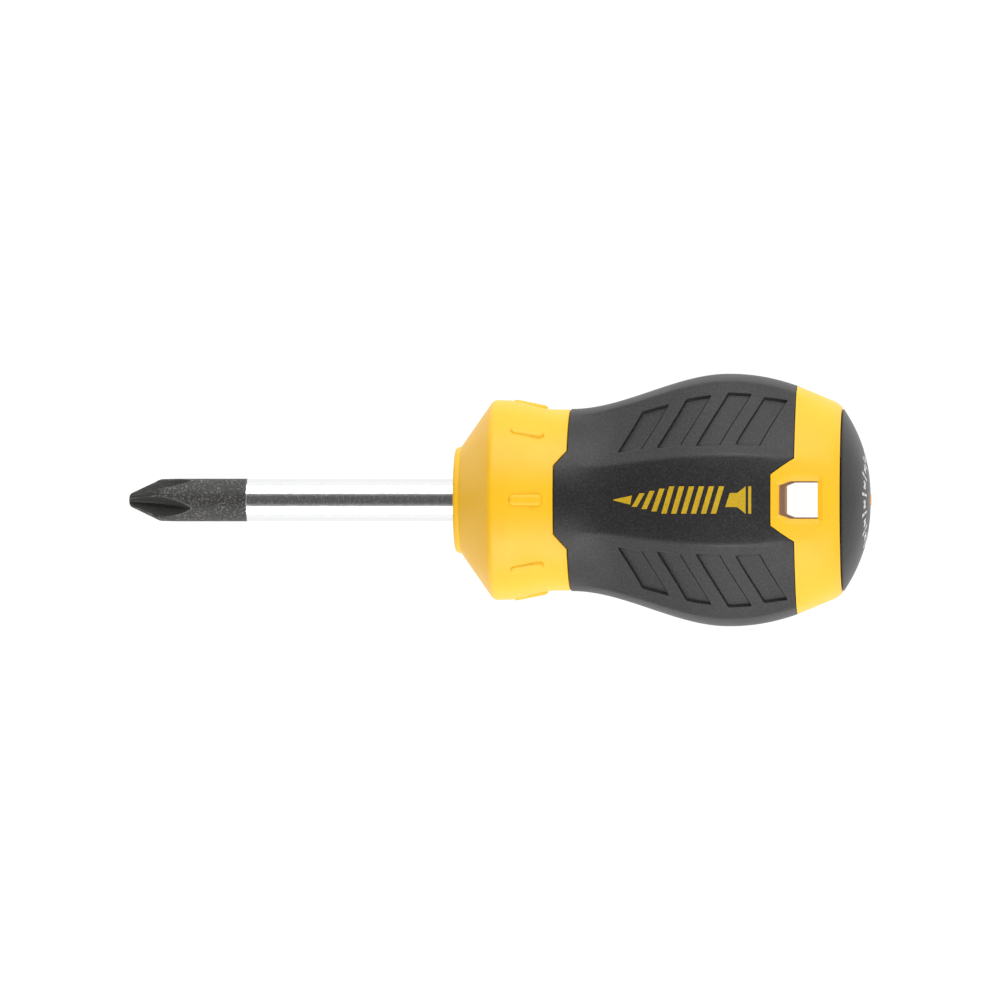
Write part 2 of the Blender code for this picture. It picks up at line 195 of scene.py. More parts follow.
# One moulded plastic or rubber: two tones in slow patches, lighter or darker specks, and a grain. An optional
# glow is painted light: an emission in the plastic's own colour that brightens a shaded surface, such as the
# core's walls deep in the hanging hole.
def mouldedMaterial(name, look):
    made, tree, shader, coordinates = newMaterial(name)
    grainSize, patchSize = look["grain"] * mm, look["patch"] * mm
    grain = addGroup(tree, mouldGrain, coordinates, Grain_Size=grainSize, Patch_Size=patchSize)
    tone = blendColours(tree, grain.outputs["Patch"], look["colour"], look["drift"])
    speckShare = remap(tree, grain.outputs["Fine"], *look["speckRange"], 0.0, look["speckShare"])
    tree.links.new(blendColours(tree, speckShare, tone, look["speck"]), shader.inputs["Base Color"])
    smoothest, roughest = look["roughness"] - 0.03, look["roughness"] + 0.04
    rough = remap(tree, grain.outputs["Patch"], 0.0, 1.0, smoothest, roughest)
    tree.links.new(rough, shader.inputs["Roughness"])
    shader.inputs["Specular IOR Level"].default_value = look["specular"]
    shader.inputs["Sheen Weight"].default_value = look["sheen"]
    shader.inputs["Sheen Roughness"].default_value = 0.4
    # Painted light: the plastic emits in its own colour, so it looks lit even where it lies in shade.
    if "paintedGlow" in look:
        shader.inputs["Emission Color"].default_value = (*look["colour"], 1.0)
        shader.inputs["Emission Strength"].default_value = look["paintedGlow"]
    addBump(tree, shader, grain.outputs["Height"], look["bump"], look["depth"] * mm)
    return made


yellowLook = {
    "colour": (0.95, 0.525, 0.011), "drift": (0.93, 0.50, 0.009), "speck": (0.98, 0.59, 0.022),
    "speckShare": 0.4, "speckRange": (0.45, 0.7), "grain": 0.12, "patch": 5.0, "roughness": 0.44,
    "specular": 0.46, "sheen": 0.05, "bump": 0.3, "depth": 0.012,
}
rubberLook = {
    "colour": (0.0100, 0.0090, 0.0096), "drift": (0.0120, 0.0108, 0.0116), "speck": (0.0375, 0.035, 0.0362),
    "speckShare": 0.8, "speckRange": (0.42, 0.68), "grain": 0.16, "patch": 6.0, "roughness": 0.47,
    "specular": 0.43, "sheen": 0.03, "bump": 0.7, "depth": 0.025,
}
capLook = {
    "colour": (0.0085, 0.008, 0.0075), "drift": (0.0105, 0.01, 0.0095), "speck": (0.026, 0.025, 0.024),
    "speckShare": 0.8, "speckRange": (0.42, 0.7), "grain": 0.16, "patch": 5.0, "roughness": 0.4,
    "specular": 0.34, "sheen": 0.02, "bump": 0.4, "depth": 0.015,
}
# The core glows a little. This is painted light that brightens its shaded walls inside the hanging hole.
coreLook = {
    "colour": (0.60, 0.42, 0.27), "drift": (0.55, 0.38, 0.24), "speck": (0.68, 0.5, 0.34),
    "speckShare": 0.4, "speckRange": (0.45, 0.7), "grain": 0.14, "patch": 4.0, "roughness": 0.6,
    "specular": 0.2, "sheen": 0.0, "bump": 0.3, "depth": 0.01, "paintedGlow": 0.14,
}
dotLook = {
    "colour": (0.98, 0.50, 0.18), "drift": (0.96, 0.46, 0.15), "speck": (1.0, 0.58, 0.25),
    "speckShare": 0.3, "speckRange": (0.45, 0.7), "grain": 0.1, "patch": 1.0, "roughness": 0.38,
    "specular": 0.5, "sheen": 0.0, "bump": 0.2, "depth": 0.006,
}
yellowInkLook = {
    "colour": (0.62, 0.40, 0.012), "drift": (0.55, 0.35, 0.01), "speck": (0.40, 0.25, 0.01),
    "speckShare": 0.7, "speckRange": (0.5, 0.7), "grain": 0.16, "patch": 2.0, "roughness": 0.5,
    "specular": 0.4, "sheen": 0.0, "bump": 0.5, "depth": 0.02,
}
whiteInkLook = {
    "colour": (0.72, 0.72, 0.70), "drift": (0.62, 0.62, 0.60), "speck": (0.4, 0.4, 0.39),
    "speckShare": 0.5, "speckRange": (0.5, 0.7), "grain": 0.12, "patch": 1.5, "roughness": 0.5,
    "specular": 0.4, "sheen": 0.0, "bump": 0.4, "depth": 0.015,
}
yellowPlastic = mouldedMaterial("yellowPlastic", yellowLook)
gripRubber = mouldedMaterial("gripRubber", rubberLook)
capPlastic = mouldedMaterial("capPlastic", capLook)
corePlastic = mouldedMaterial("corePlastic", coreLook)
dotPlastic = mouldedMaterial("dotPlastic", dotLook)
yellowInk = mouldedMaterial("yellowInk", yellowInkLook)
whiteInk = mouldedMaterial("whiteInk", whiteInkLook)

steelLook = {
    "chrome": (0.76, 0.765, 0.77), "chromeBright": (0.84, 0.845, 0.85), "chromeRoughness": (0.14, 0.36),
    "black": (0.022, 0.0215, 0.02), "grit": (0.26, 0.25, 0.235), "blackRoughness": 0.6, "blackGrain": 0.17,
    "worn": (0.26, 0.255, 0.24), "wornShare": 0.85, "blackEnd": 16.32, "ragged": 0.1, "blastStart": 3.3,
    "fleck": 0.12, "fleckStretch": (0.6, 1.0, 1.0), "fleckHeight": 0.07, "bump": 0.8, "depth": 0.045,
}


# Polished steel with a sandblasted black point, whose edges are worn pale. The border between them wanders
# a little. The blade's mesh carries the attributes "worn" and "fluted".
def makeSteel(look):
    made, tree, shader, coordinates = newMaterial("bladeSteel")
    grain = addGroup(tree, mouldGrain, coordinates, Grain_Size=look["blackGrain"] * mm, Patch_Size=1.6 * mm)
    fleck, stretch = look["fleck"] * mm, look["fleckStretch"]
    polish = addGroup(tree, polishLines, coordinates, Stretch=stretch, Line_Size=fleck)
    along = addNode(tree, "SeparateXYZ")
    tree.links.new(coordinates, along.inputs[0])
    wander = addNode(tree, "TexNoise", {"Scale": 1600.0, "Detail": 4.0, "Roughness": 0.7})
    tree.links.new(coordinates, wander.inputs["Vector"])
    ragged = look["ragged"] * mm
    shift = remap(tree, wander.outputs["Fac"], 0.25, 0.75, -ragged, ragged)
    edge = math2(tree, "ADD", along.outputs["X"], shift)
    end = look["blackEnd"] * mm
    polished = remap(tree, edge, end - 0.05 * mm, end + 0.05 * mm, 0.0, 1.0)
    satin = remap(tree, polish.outputs["Height"], 0.38, 0.62, 0.0, 1.0)
    chrome = blendColours(tree, satin, look["chrome"], look["chromeBright"])
    start = look["blastStart"] * mm
    grit = remap(tree, grain.outputs["Fine"], 0.5, 0.72, 0.0, 0.85)
    grit = math2(tree, "MULTIPLY", grit, remap(tree, grain.outputs["Patch"], 0.0, 1.0, 0.4, 1.0))
    grit = math2(tree, "MULTIPLY", grit, remap(tree, along.outputs["X"], start, start + 0.4 * mm, 0.3, 1.0))
    fluted = addNode(tree, "Attribute", attribute_name="fluted")
    grit = math2(tree, "MULTIPLY", grit, remap(tree, fluted.outputs["Fac"], 0.0, 1.0, 1.0, 0.25))
    black = blendColours(tree, grit, look["black"], look["grit"])
    wornEdge = addNode(tree, "Attribute", attribute_name="worn")
    wornShare = math2(tree, "MULTIPLY", wornEdge.outputs["Fac"], look["wornShare"])
    black = blendColours(tree, wornShare, black, look["worn"])
    tree.links.new(blendColours(tree, polished, black, chrome), shader.inputs["Base Color"])
    tree.links.new(polished, shader.inputs["Metallic"])
    gloss = remap(tree, polish.outputs["Height"], 0.52, 0.68, *look["chromeRoughness"])
    tree.links.new(remap(tree, polished, 0.0, 1.0, look["blackRoughness"], gloss), shader.inputs["Roughness"])
    grainHeight = math2(tree, "MULTIPLY", grain.outputs["Height"], math2(tree, "SUBTRACT", 1.0, polished))
    fleckHeight = math2(tree, "MULTIPLY", polish.outputs["Height"], polished)
    fleckHeight = math2(tree, "MULTIPLY", fleckHeight, look["fleckHeight"])
    addBump(tree, shader, math2(tree, "ADD", grainHeight, fleckHeight), look["bump"], look["depth"] * mm)
    return made


bladeSteel = makeSteel(steelLook)
print("materials ready")


def newObject(name, mesh, material=None):
    made = bpy.data.objects.new(name, mesh)
    bpy.context.scene.collection.objects.link(made)
    if material:
        mesh.materials.clear()
        mesh.materials.append(material)
    return made


def fromBmesh(name, bm, material=None):
    mesh = bpy.data.meshes.new(name)
    bmesh.ops.recalc_face_normals(bm, faces=bm.faces)
    bm.to_mesh(mesh)
    bm.free()
    return newObject(name, mesh, material)


# Turns every live modifier of a piece into plain mesh.
def bake(piece):
    bpy.context.view_layer.update()
    mesh = bpy.data.meshes.new_from_object(piece.evaluated_get(bpy.context.evaluated_depsgraph_get()))
    piece.modifiers.clear()
    piece.data = mesh
    mesh.name = piece.name
    return piece


def shadeRound(piece, sharpDegrees=40):
    piece.data.shade_smooth()
    piece.data.set_sharp_from_angle(angle=math.radians(sharpDegrees))
    return piece


# A closed wall between an outer and an inner skin that share one grid. Rows run along the tool, columns
# run round it, and the cells that isOpen names are left out, with walls down to the inner skin.
def wallFromGrid(name, rows, columns, outerAt, innerAt, material, edgeRound, isOpen=lambda i, j: False):
    bm = bmesh.new()
    weight = bm.edges.layers.float.new("bevel_weight_edge")
    outer = [[bm.verts.new(outerAt(row, column)) for column in columns] for row in rows]
    inner = [[bm.verts.new(innerAt(row, column)) for column in columns] for row in rows]
    count = len(columns)
    kept = {(i, j) for i in range(len(rows) - 1) for j in range(count) if not isOpen(i, j)}
    for i, j in kept:
        k = (j + 1) % count
        bm.faces.new((outer[i][j], outer[i][k], outer[i + 1][k], outer[i + 1][j]))
        bm.faces.new((inner[i][j], inner[i + 1][j], inner[i + 1][k], inner[i][k]))
        sides = (
            ((i - 1, j), (i, j), (i, k)),
            ((i + 1, j), (i + 1, k), (i + 1, j)),
            ((i, (j - 1) % count), (i + 1, j), (i, j)),
            ((i, k), (i, k), (i + 1, k)),
        )
        for neighbour, (a, b), (c, d) in sides:
            if neighbour in kept:
                continue
            bm.faces.new((outer[a][b], outer[c][d], inner[c][d], inner[a][b]))
            bm.edges.get((outer[a][b], outer[c][d]))[weight] = 1.0
    loose = [v for v in bm.verts if not v.link_faces]
    bmesh.ops.delete(bm, geom=loose, context="VERTS")
    piece = fromBmesh(name, bm, material)
    bevel = piece.modifiers.new("edgeRound", "BEVEL")
    bevel.limit_method = "WEIGHT"
    bevel.width = edgeRound * mm
    bevel.segments = 3
    return shadeRound(bake(piece), 24)


# An outline of (x, radius, corner rounding), with its corners turned into arcs.
def roundedOutline(corners, steps=5):
    made = []
    for i, (x, r, rounding) in enumerate(corners):
        here = Vector((x, r))
        if rounding == 0 or i in (0, len(corners) - 1):
            made.append(here)
            continue
        before = (Vector(corners[i - 1][:2]) - here).normalized()
        after = (Vector(corners[i + 1][:2]) - here).normalized()
        half = before.angle(after) / 2
        reach = rounding / math.tan(half)
        centre = here + (before + after).normalized() * (rounding / math.sin(half))
        start, end = here + before * reach - centre, here + after * reach - centre
        turn = start.angle_signed(end)
        for k in range(steps + 1):
            angle = -turn * k / steps
            spun = Vector((
                start.x * math.cos(angle) - start.y * math.sin(angle),
                start.x * math.sin(angle) + start.y * math.cos(angle),
            ))
            made.append(centre + spun)
    return made


# A turned solid from an outline of (x, radius) points that starts and ends on the axis.
def turnedSolid(name, outline, material, sides=128):
    bm = bmesh.new()
    rings = []
    for x, radius in outline:
        if radius < 1e-6:
            rings.append([bm.verts.new(around(x, 0, 0))])
        else:
            rings.append([bm.verts.new(around(x, 2 * math.pi * k / sides, radius)) for k in range(sides)])
    for low, high in zip(rings, rings[1:]):
        for k in range(sides):
            n = (k + 1) % sides
            corners = [low[k % len(low)], low[n % len(low)], high[n % len(high)], high[k % len(high)]]
            bm.faces.new(list(dict.fromkeys(corners)))
    return shadeRound(fromBmesh(name, bm, material))


gripLow, gripHigh = boxMm("grip")
bandLow, bandHigh = boxMm("rear_band")
collarLow, collarHigh = boxMm("nose_collar")
capLow, capHigh = boxMm("end_cap")
bladeHigh = boxMm("blade")[1]
dotLow, dotHigh = boxMm("colour_dot")

# The handle's skin, shared by the grip, the rear band and the printed marks.
handle = {
    "waist": 12.5, "belly": gripHigh.y + 0.003, "bandStartRadius": 15.68, "shoulder": 13.6, "rear": 12.72,
    "waistAt": 60.8, "bellyAt": 82.7, "bandAt": gripHigh.x + 0.15,
    "shoulderAt": 96.8, "rearAt": bandHigh.x + 0.15,
    "panel": 0.968, "crown": 0.2685, "flank": 0.9135, "edge": 0.007,
    "flattening": 6.7, "roundingAt": 86.0, "roundingLength": 11.0,
}


def roundRadius(x):
    if x < handle["bellyAt"]:
        rise = smooth((x - handle["waistAt"] - 0.2) / (handle["bellyAt"] - handle["waistAt"] - 0.5))
        return mix(handle["waist"], handle["belly"], rise)
    if x < handle["bandAt"]:
        t = (x - handle["bellyAt"]) / (handle["bandAt"] - handle["bellyAt"])
        return mix(handle["belly"], handle["bandStartRadius"], t * t)
    if x < handle["shoulderAt"]:
        t = (x - handle["bandAt"]) / (handle["shoulderAt"] - handle["bandAt"])
        return mix(handle["bandStartRadius"], handle["shoulder"], t)
    t = (x - handle["shoulderAt"]) / (handle["rearAt"] - handle["shoulderAt"])
    return mix(handle["shoulder"], handle["rear"], 0.6 * t + 0.4 * t * t)


# The flattened section, as a share of the round radius: a crowned panel at 0 and 180, flats at 45.
def sectionShare(angle):
    angle = abs(math.remainder(angle, math.pi))
    s, c = math.sin(angle), max(math.cos(angle), 1e-6)
    k = handle["crown"] * s * s
    panel = handle["panel"] / c
    if k > 1e-6:
        panel = (math.sqrt(c * c + 4 * k * handle["panel"]) - c) / (2 * k)
    flank = handle["flank"] / max(math.cos(angle - math.pi / 4), 0.3)
    return softMin(softMin(panel, flank, handle["edge"]), 1.0, handle["edge"])


# How far the section at x is flattened: not at all at the waist, fully over the panels, less towards the rear.
def flatness(x):
    rise = smooth((x - handle["waistAt"]) / handle["flattening"])
    return rise * (1 - smooth((x - handle["roundingAt"]) / handle["roundingLength"]))


def skinRadius(x, angle):
    return roundRadius(x) * (1 - (1 - sectionShare(angle)) * flatness(x))


def skinPoint(x, angle, lift=0.0):
    return around(x, angle, skinRadius(x, angle) + lift)


# Angle at which the skin at x lies a given distance from the middle plane.
def angleAtSide(x, side):
    angle = math.asin(side / roundRadius(x))
    for _ in range(4):
        angle = math.asin(side / skinRadius(x, angle))
    return angle


# Columns for a quarter of the handle, mirrored so that all four quarters share them. A column is (quarter,
# place between the quarter's knots, extra).
def allQuarters(lines):
    made = []
    for quarter in range(4):
        run = lines if quarter % 2 == 0 else list(reversed(lines))
        made += [(quarter, place, extra) for place, extra in run[:-1]]
    return made


def quarterAngle(quarter, angle):
    turn = (quarter + quarter % 2) * math.pi / 2
    return turn + (angle if quarter % 2 == 0 else -angle)


# Reads a table of knots at a fractional place along both of its directions.
def readKnots(table, u, v):
    i, j = min(int(u), len(table) - 2), min(int(v), len(table[0]) - 2)
    s, t = u - i, v - j
    low = [mix(a, b, t) for a, b in zip(table[i][j], table[i][j + 1])]
    high = [mix(a, b, t) for a, b in zip(table[i + 1][j], table[i + 1][j + 1])]
    return [mix(a, b, s) for a, b in zip(low, high)]


grip = {
    "wall": 2.0, "tongueHalf": 4.63, "tongueRootHalf": 6.66, "tongueReach": 1.8,
    "frameHalf": 3.51, "frameRootHalf": 5.69, "frameReach": 3.15, "rearGrow": 0.2,
    "slots": 4, "slotStart": 67.9, "slotPitch": 5.38, "slotWidth": 3.3, "slotLean": 0.57,
    "slotLow": (30.6, 29.0, 27.2, 27.6), "slotHigh": (60.2, 60.8, 62.0, 60.8),
    "slotDepth": 0.37, "slotEdge": 0.07, "slotRamp": 0.3, "crease": 21.5, "edgeRound": 0.18,
}


# Knots along the grip are its front edge, both sides of each slot, and its rear edge. Knots round a quarter
# are the panel's middle, its crease, the slots' two ends, the flank's outer crease, and the handle's side.
def gripKnots():
    front, rear = gripLow.x, gripHigh.x + grip["rearGrow"]
    frontRoot = front + grip["tongueReach"]
    rearTip = rear - grip["frameReach"]
    crease, outerCrease = math.radians(grip["crease"]), math.pi / 4 + math.acos(handle["flank"])
    quarter = math.pi / 2
    table = [[
        (front, 0.0), (front, angleAtSide(front, grip["tongueHalf"])),
        (frontRoot, angleAtSide(frontRoot, grip["tongueRootHalf"])),
        (frontRoot, math.radians(63)), (frontRoot, outerCrease), (frontRoot, quarter),
    ]]
    for number in range(grip["slots"]):
        low, high = math.radians(grip["slotLow"][number]), math.radians(grip["slotHigh"][number])
        for side in (0, 1):
            x = grip["slotStart"] + number * grip["slotPitch"] + side * grip["slotWidth"]
            start = skinPoint(x, low).y / mm
            leant = x
            for _ in range(4):
                leant = x + grip["slotLean"] * (skinPoint(leant, high).y / mm - start)
            table.append([
                (x, 0.0), (x, crease), (x, low), (leant, high), (leant, outerCrease), (leant, quarter),
            ])
    table.append([
        (rearTip, 0.0), (rearTip, angleAtSide(rearTip, grip["frameHalf"])),
        (rear, angleAtSide(rear, grip["frameRootHalf"])),
        (rear, math.radians(61)), (rear, outerCrease), (rear, quarter),
    ])
    return table


# Lines across a slot's edge: (signed distance into the slot as a share of the edge, how far it has sunk).
def slotEdgeLines():
    return [(s, smooth((s + 1) / 2)) for s in (-1.0, -0.55, -0.2, 0.2, 0.55, 1.0)]


# A fine gutter at the foot of a wall, which draws the slot's rear edge as a thin dark line.
def slotGutterLines():
    return [(1.8, 1.4), (2.6, 1.4), (3.4, 1.0)]


def gripRows():
    rows = [(u, 0.0) for u in spaced(0.0, 0.06, 3, False) + spaced(0.06, 0.97, 20, False)]
    edge, width = grip["slotEdge"], grip["slotWidth"]
    gap = grip["slotPitch"] - width
    for number in range(grip["slots"]):
        left, right = 1 + 2 * number, 2 + 2 * number
        before = 8.0 if number == 0 else gap
        after = 3.0 if number == grip["slots"] - 1 else gap
        rows += [(left + s * edge / (before if s < 0 else width), sunk) for s, sunk in slotEdgeLines()]
        rows += [(u, 1.0) for u in spaced(left + 0.1, right - 0.1, 5)]
        rows += [(right - s * edge / (after if s < 0 else width), sunk)
                 for s, sunk in reversed(slotEdgeLines() + slotGutterLines())]
        if number < grip["slots"] - 1:
            rows += [(u, 0.0) for u in spaced(right + 0.2, right + 0.8, 3)]
    last = 2 * grip["slots"] + 1
    return rows + [(u, 0.0) for u in spaced(last - 0.85, last - 0.15, 5) + spaced(last - 0.08, last, 2)]


def gripColumns():
    edge, ramp = grip["slotEdge"], grip["slotRamp"]
    lines = [(v, 0.0) for v in spaced(0.0, 0.9, 9) + [0.95, 1.0, 1.07] + spaced(1.2, 1.8, 4)]
    lines += [(2 + s * ramp / (1.8 if s < 0 else 9.0), sunk) for s, sunk in slotEdgeLines()]
    lines += [(v, 1.0) for v in spaced(2.06, 2.94, 12)]
    lines += [(3 - s * edge / (2.0 if s < 0 else 9.0), sunk) for s, sunk in reversed(slotEdgeLines())]
    return allQuarters(lines + [(v, 0.0) for v in spaced(3.2, 3.9, 4) + [4.0] + spaced(4.03, 5.0, 9)])


def makeGrip():
    knots = gripKnots()

    def place(row, column):
        x, angle = readKnots(knots, row[0], column[1])
        return x, quarterAngle(column[0], angle)

    def outerAt(row, column):
        x, angle = place(row, column)
        return skinPoint(x, angle, -grip["slotDepth"] * row[1] * column[2])

    def innerAt(row, column):
        x, angle = place(row, column)
        return skinPoint(x, angle, -grip["wall"])

    rows, columns, rounding = gripRows(), gripColumns(), grip["edgeRound"]
    piece = wallFromGrid("softGrip", rows, columns, outerAt, innerAt, gripRubber, rounding)
    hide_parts("grip")
    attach(piece, "root")


makeGrip()
print("grip made")


band = {
    "wall": 2.0, "frameHalf": 3.46, "frameRootHalf": 5.64, "frameReach": 3.15,
    "holeStart": 89.9, "holeEnd": 95.1, "holeHalf": 2.64, "cornerAlong": 1.5, "cornerAcross": 0.6,
    "chamfer": 0.72, "chamferDepth": 0.5, "edgeRound": 0.14, "rearGrow": 0.12,
}


# Knots are (x, distance from the middle plane, share of the chamfer's depth). Rows run from the band's
# front edge over the chamfer and the hole to the rear. Columns run from the panel's middle to the handle's
# side, which a distance of None stands for. Rows 2 to 4 and columns 0 to 2 enclose the hole, and the knots
# round them are its chamfer's outer edge.
def bandKnots():
    front, rear = bandLow.x, bandHigh.x + band["rearGrow"]
    root = front + band["frameReach"]
    x0, x1, half = band["holeStart"], band["holeEnd"], band["holeHalf"]
    along, across, grow = band["cornerAlong"], band["cornerAcross"], band["chamfer"]
    xa, xb, wide = x0 - grow, x1 + grow, half + grow
    side = half - across
    tip, frameRoot, far = band["frameHalf"], band["frameRootHalf"], None
    shoulder = handle["shoulderAt"]
    return [
        [(front, 0, 0), (front, side, 0), (front, 2.65, 0), (front, 3.1, 0), (front, tip, 0),
         (root, frameRoot, 0), (root, far, 0)],
        [(xa, 0, 0), (xa, side + 0.3, 0), (xa + 0.45, side + 0.48, 0), (xa + 0.85, side + 0.64, 0),
         (xa + 0.75, 4.0, 0), (root + 0.35, frameRoot + 0.15, 0), (root + 0.35, far, 0)],
        [(x0, 0, 1), (x0, side, 1), (x0 + along / 2, half - across / 2, 1), (x0 + 0.75, wide - 0.3, 0),
         (x0 + 0.9, 4.2, 0), (root + 0.8, frameRoot + 0.3, 0), (root + 0.8, far, 0)],
        [(x0 + along, 0, 1), (x0 + along, side, 1), (x0 + along, half, 1), (x0 + along + 0.1, wide, 0),
         (x0 + along + 0.2, 4.5, 0), (root + 1.4, frameRoot + 0.4, 0), (root + 1.4, far, 0)],
        [(x1, 0, 1), (x1, side, 1), (x1, half, 1), (x1, wide, 0), (x1, 4.6, 0), (x1, 6.0, 0), (x1, far, 0)],
        [(xb, 0, 0), (xb, side, 0), (xb, half, 0), (xb, wide, 0), (xb, 4.6, 0), (xb, 6.0, 0), (xb, far, 0)],
        [(shoulder, 0, 0), (shoulder, 1.9, 0), (shoulder, 2.5, 0), (shoulder, 3.2, 0), (shoulder, 4.4, 0),
         (shoulder, 5.8, 0), (shoulder, far, 0)],
        [(rear, 0, 0), (rear, 1.8, 0), (rear, 2.4, 0), (rear, 3.1, 0), (rear, 4.2, 0), (rear, 5.5, 0),
         (rear, far, 0)],
    ]


def spreadKnots(counts):
    made = []
    for i, count in enumerate(counts):
        made += spaced(i, i + 1, count, False)
    return made + [len(counts)]


def makeBand():
    knots = [[(x, math.pi / 2 if y is None else angleAtSide(x, y), deep) for x, y, deep in row]
             for row in bandKnots()]
    rows = spreadKnots([3, 4, 3, 7, 4, 3, 5])
    columns = allQuarters([(v, 0) for v in spreadKnots([4, 2, 4, 2, 5, 26])])

    def outerAt(row, column):
        x, angle, deep = readKnots(knots, row, column[1])
        return skinPoint(x, quarterAngle(column[0], angle), -band["chamferDepth"] * deep)

    # Straight down beside the hole, and towards the axis further round.
    def innerAt(row, column):
        x, angle, deep = readKnots(knots, row, column[1])
        turned = quarterAngle(column[0], angle)
        radial = Vector((0, math.sin(turned), math.cos(turned)))
        down = Vector((0, 0, math.copysign(1.0, math.cos(turned))))
        inward = down.lerp(radial, smooth((angle - 0.25) / 0.4)).normalized()
        return skinPoint(x, turned) - inward * band["wall"] * mm

    def isOpen(i, j):
        here, after = columns[j][1], columns[(j + 1) % len(columns)][1]
        return 2 <= rows[i] < 4 and max(here, after) <= 2

    rounding = band["edgeRound"]
    piece = wallFromGrid("rearBand", rows, columns, outerAt, innerAt, yellowPlastic, rounding, isOpen)
    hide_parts("rear_band")
    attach(piece, "root")


makeBand()
print("rear band made")


# Geometry Nodes: what both kinds of repeat share. Copies of one detail stand on the points of a line and
# become plain mesh in one finish.
def newCopyTree(name, settings, kinds):
    tree = bpy.data.node_groups.new(name, "GeometryNodeTree")
    inputs = {}
    for label, kind in {"Geometry": "Geometry", "Count": "Int", **settings, "Finish": "Material"}.items():
        socket = tree.interface.new_socket(label, in_out="INPUT", socket_type="NodeSocket" + kind)
        inputs[label] = socket.identifier
    tree.interface.new_socket("Geometry", in_out="OUTPUT", socket_type="NodeSocketGeometry")
    shared = {
        "given": "NodeGroupInput", "put": "NodeGroupOutput", "line": "GeometryNodeMeshLine",
        "index": "GeometryNodeInputIndex", "place": "GeometryNodeInstanceOnPoints",
        "real": "GeometryNodeRealizeInstances", "finish": "GeometryNodeSetMaterial",
    }
    nodes = {label: tree.nodes.new(kind) for label, kind in {**shared, **kinds}.items()}

    def join(start, output, end, target):
        tree.links.new(nodes[start].outputs[output], nodes[end].inputs[target])

    join("given", "Count", "line", "Count")
    join("line", "Mesh", "place", "Points")
    join("given", "Geometry", "place", "Instance")
    join("place", "Instances", "real", "Geometry")
    join("real", "Geometry", "finish", "Geometry")
    join("given", "Finish", "finish", "Material")
    join("finish", "Geometry", "put", "Geometry")
    return tree, inputs, nodes, join


# Copies turned about X, the tool's axis.
def makeRingTree():
    kinds = {"step": "ShaderNodeMath", "turn": "ShaderNodeMath", "angle": "ShaderNodeMath",
             "spin": "ShaderNodeCombineXYZ"}
    tree, inputs, nodes, join = newCopyTree("ringOfCopies", {"First Angle": "Float"}, kinds)
    nodes["line"].inputs["Offset"].default_value = (0, 0, 0)
    nodes["step"].operation, nodes["turn"].operation = "DIVIDE", "MULTIPLY"
    nodes["angle"].operation = "ADD"
    nodes["step"].inputs[0].default_value = -2 * math.pi
    join("given", "Count", "step", 1)
    join("step", 0, "turn", 0)
    join("index", 0, "turn", 1)
    join("turn", 0, "angle", 0)
    join("given", "First Angle", "angle", 1)
    join("angle", 0, "spin", "X")
    join("spin", 0, "place", "Rotation")
    return tree, inputs


# A row of copies along X that grow from a small first one.
def makeRowTree():
    kinds = {"offset": "ShaderNodeCombineXYZ", "grow": "ShaderNodeMapRange", "size": "ShaderNodeCombineXYZ"}
    settings = {"Pitch": "Float", "First Size": "Float", "Full From": "Int"}
    tree, inputs, nodes, join = newCopyTree("rowOfCopies", settings, kinds)
    nodes["size"].inputs["X"].default_value = 1.0
    nodes["size"].inputs["Z"].default_value = 1.0
    join("given", "Pitch", "offset", "X")
    join("offset", 0, "line", "Offset")
    join("index", 0, "grow", "Value")
    join("given", "Full From", "grow", "From Max")
    join("given", "First Size", "grow", "To Min")
    join("grow", "Result", "size", "Y")
    join("size", 0, "place", "Scale")
    return tree, inputs


ringOfCopies = makeRingTree()
rowOfCopies = makeRowTree()


def repeat(piece, copyTree, values):
    tree, inputs = copyTree
    copies = piece.modifiers.new("copies", "NODES")
    copies.node_group = tree
    for label, value in values.items():
        copies[inputs[label]] = value
    return bake(piece)


# Adds the meshes of other pieces to a piece and removes them.
def gather(piece, *others):
    bm = bmesh.new()
    for each in (piece, *others):
        bm.from_mesh(each.data)
    bm.to_mesh(piece.data)
    bm.free()
    for other in others:
        bpy.data.objects.remove(other)
    return piece


collar = {
    "bore": 3.25, "seat": 10.3, "seatStart": 52.0, "face": 7.2, "faceRound": 0.55, "step": 0.8,
    "coneEnd": 50.3, "coneRadius": 13.75, "coneRound": 1.1, "waist": 12.42, "taperStart": 52.0,
    "taperEnd": 59.0, "tongueHalf": 4.69, "tongueRootHalf": 6.72, "tongueReach": 1.8, "rearGrow": 0.18,
    "edgeRound": 0.18,
}
rib = {
    "count": 8, "start": 53.0, "end": 57.7, "width": 1.55, "top": (13.86, 12.92), "sink": 0.9,
    "edgeRound": 0.42,
}


def barrelRadius(x):
    fall = smooth((x - collar["taperStart"]) / (collar["taperEnd"] - collar["taperStart"]))
    return mix(collar["coneRadius"] - 0.07, collar["waist"], fall)


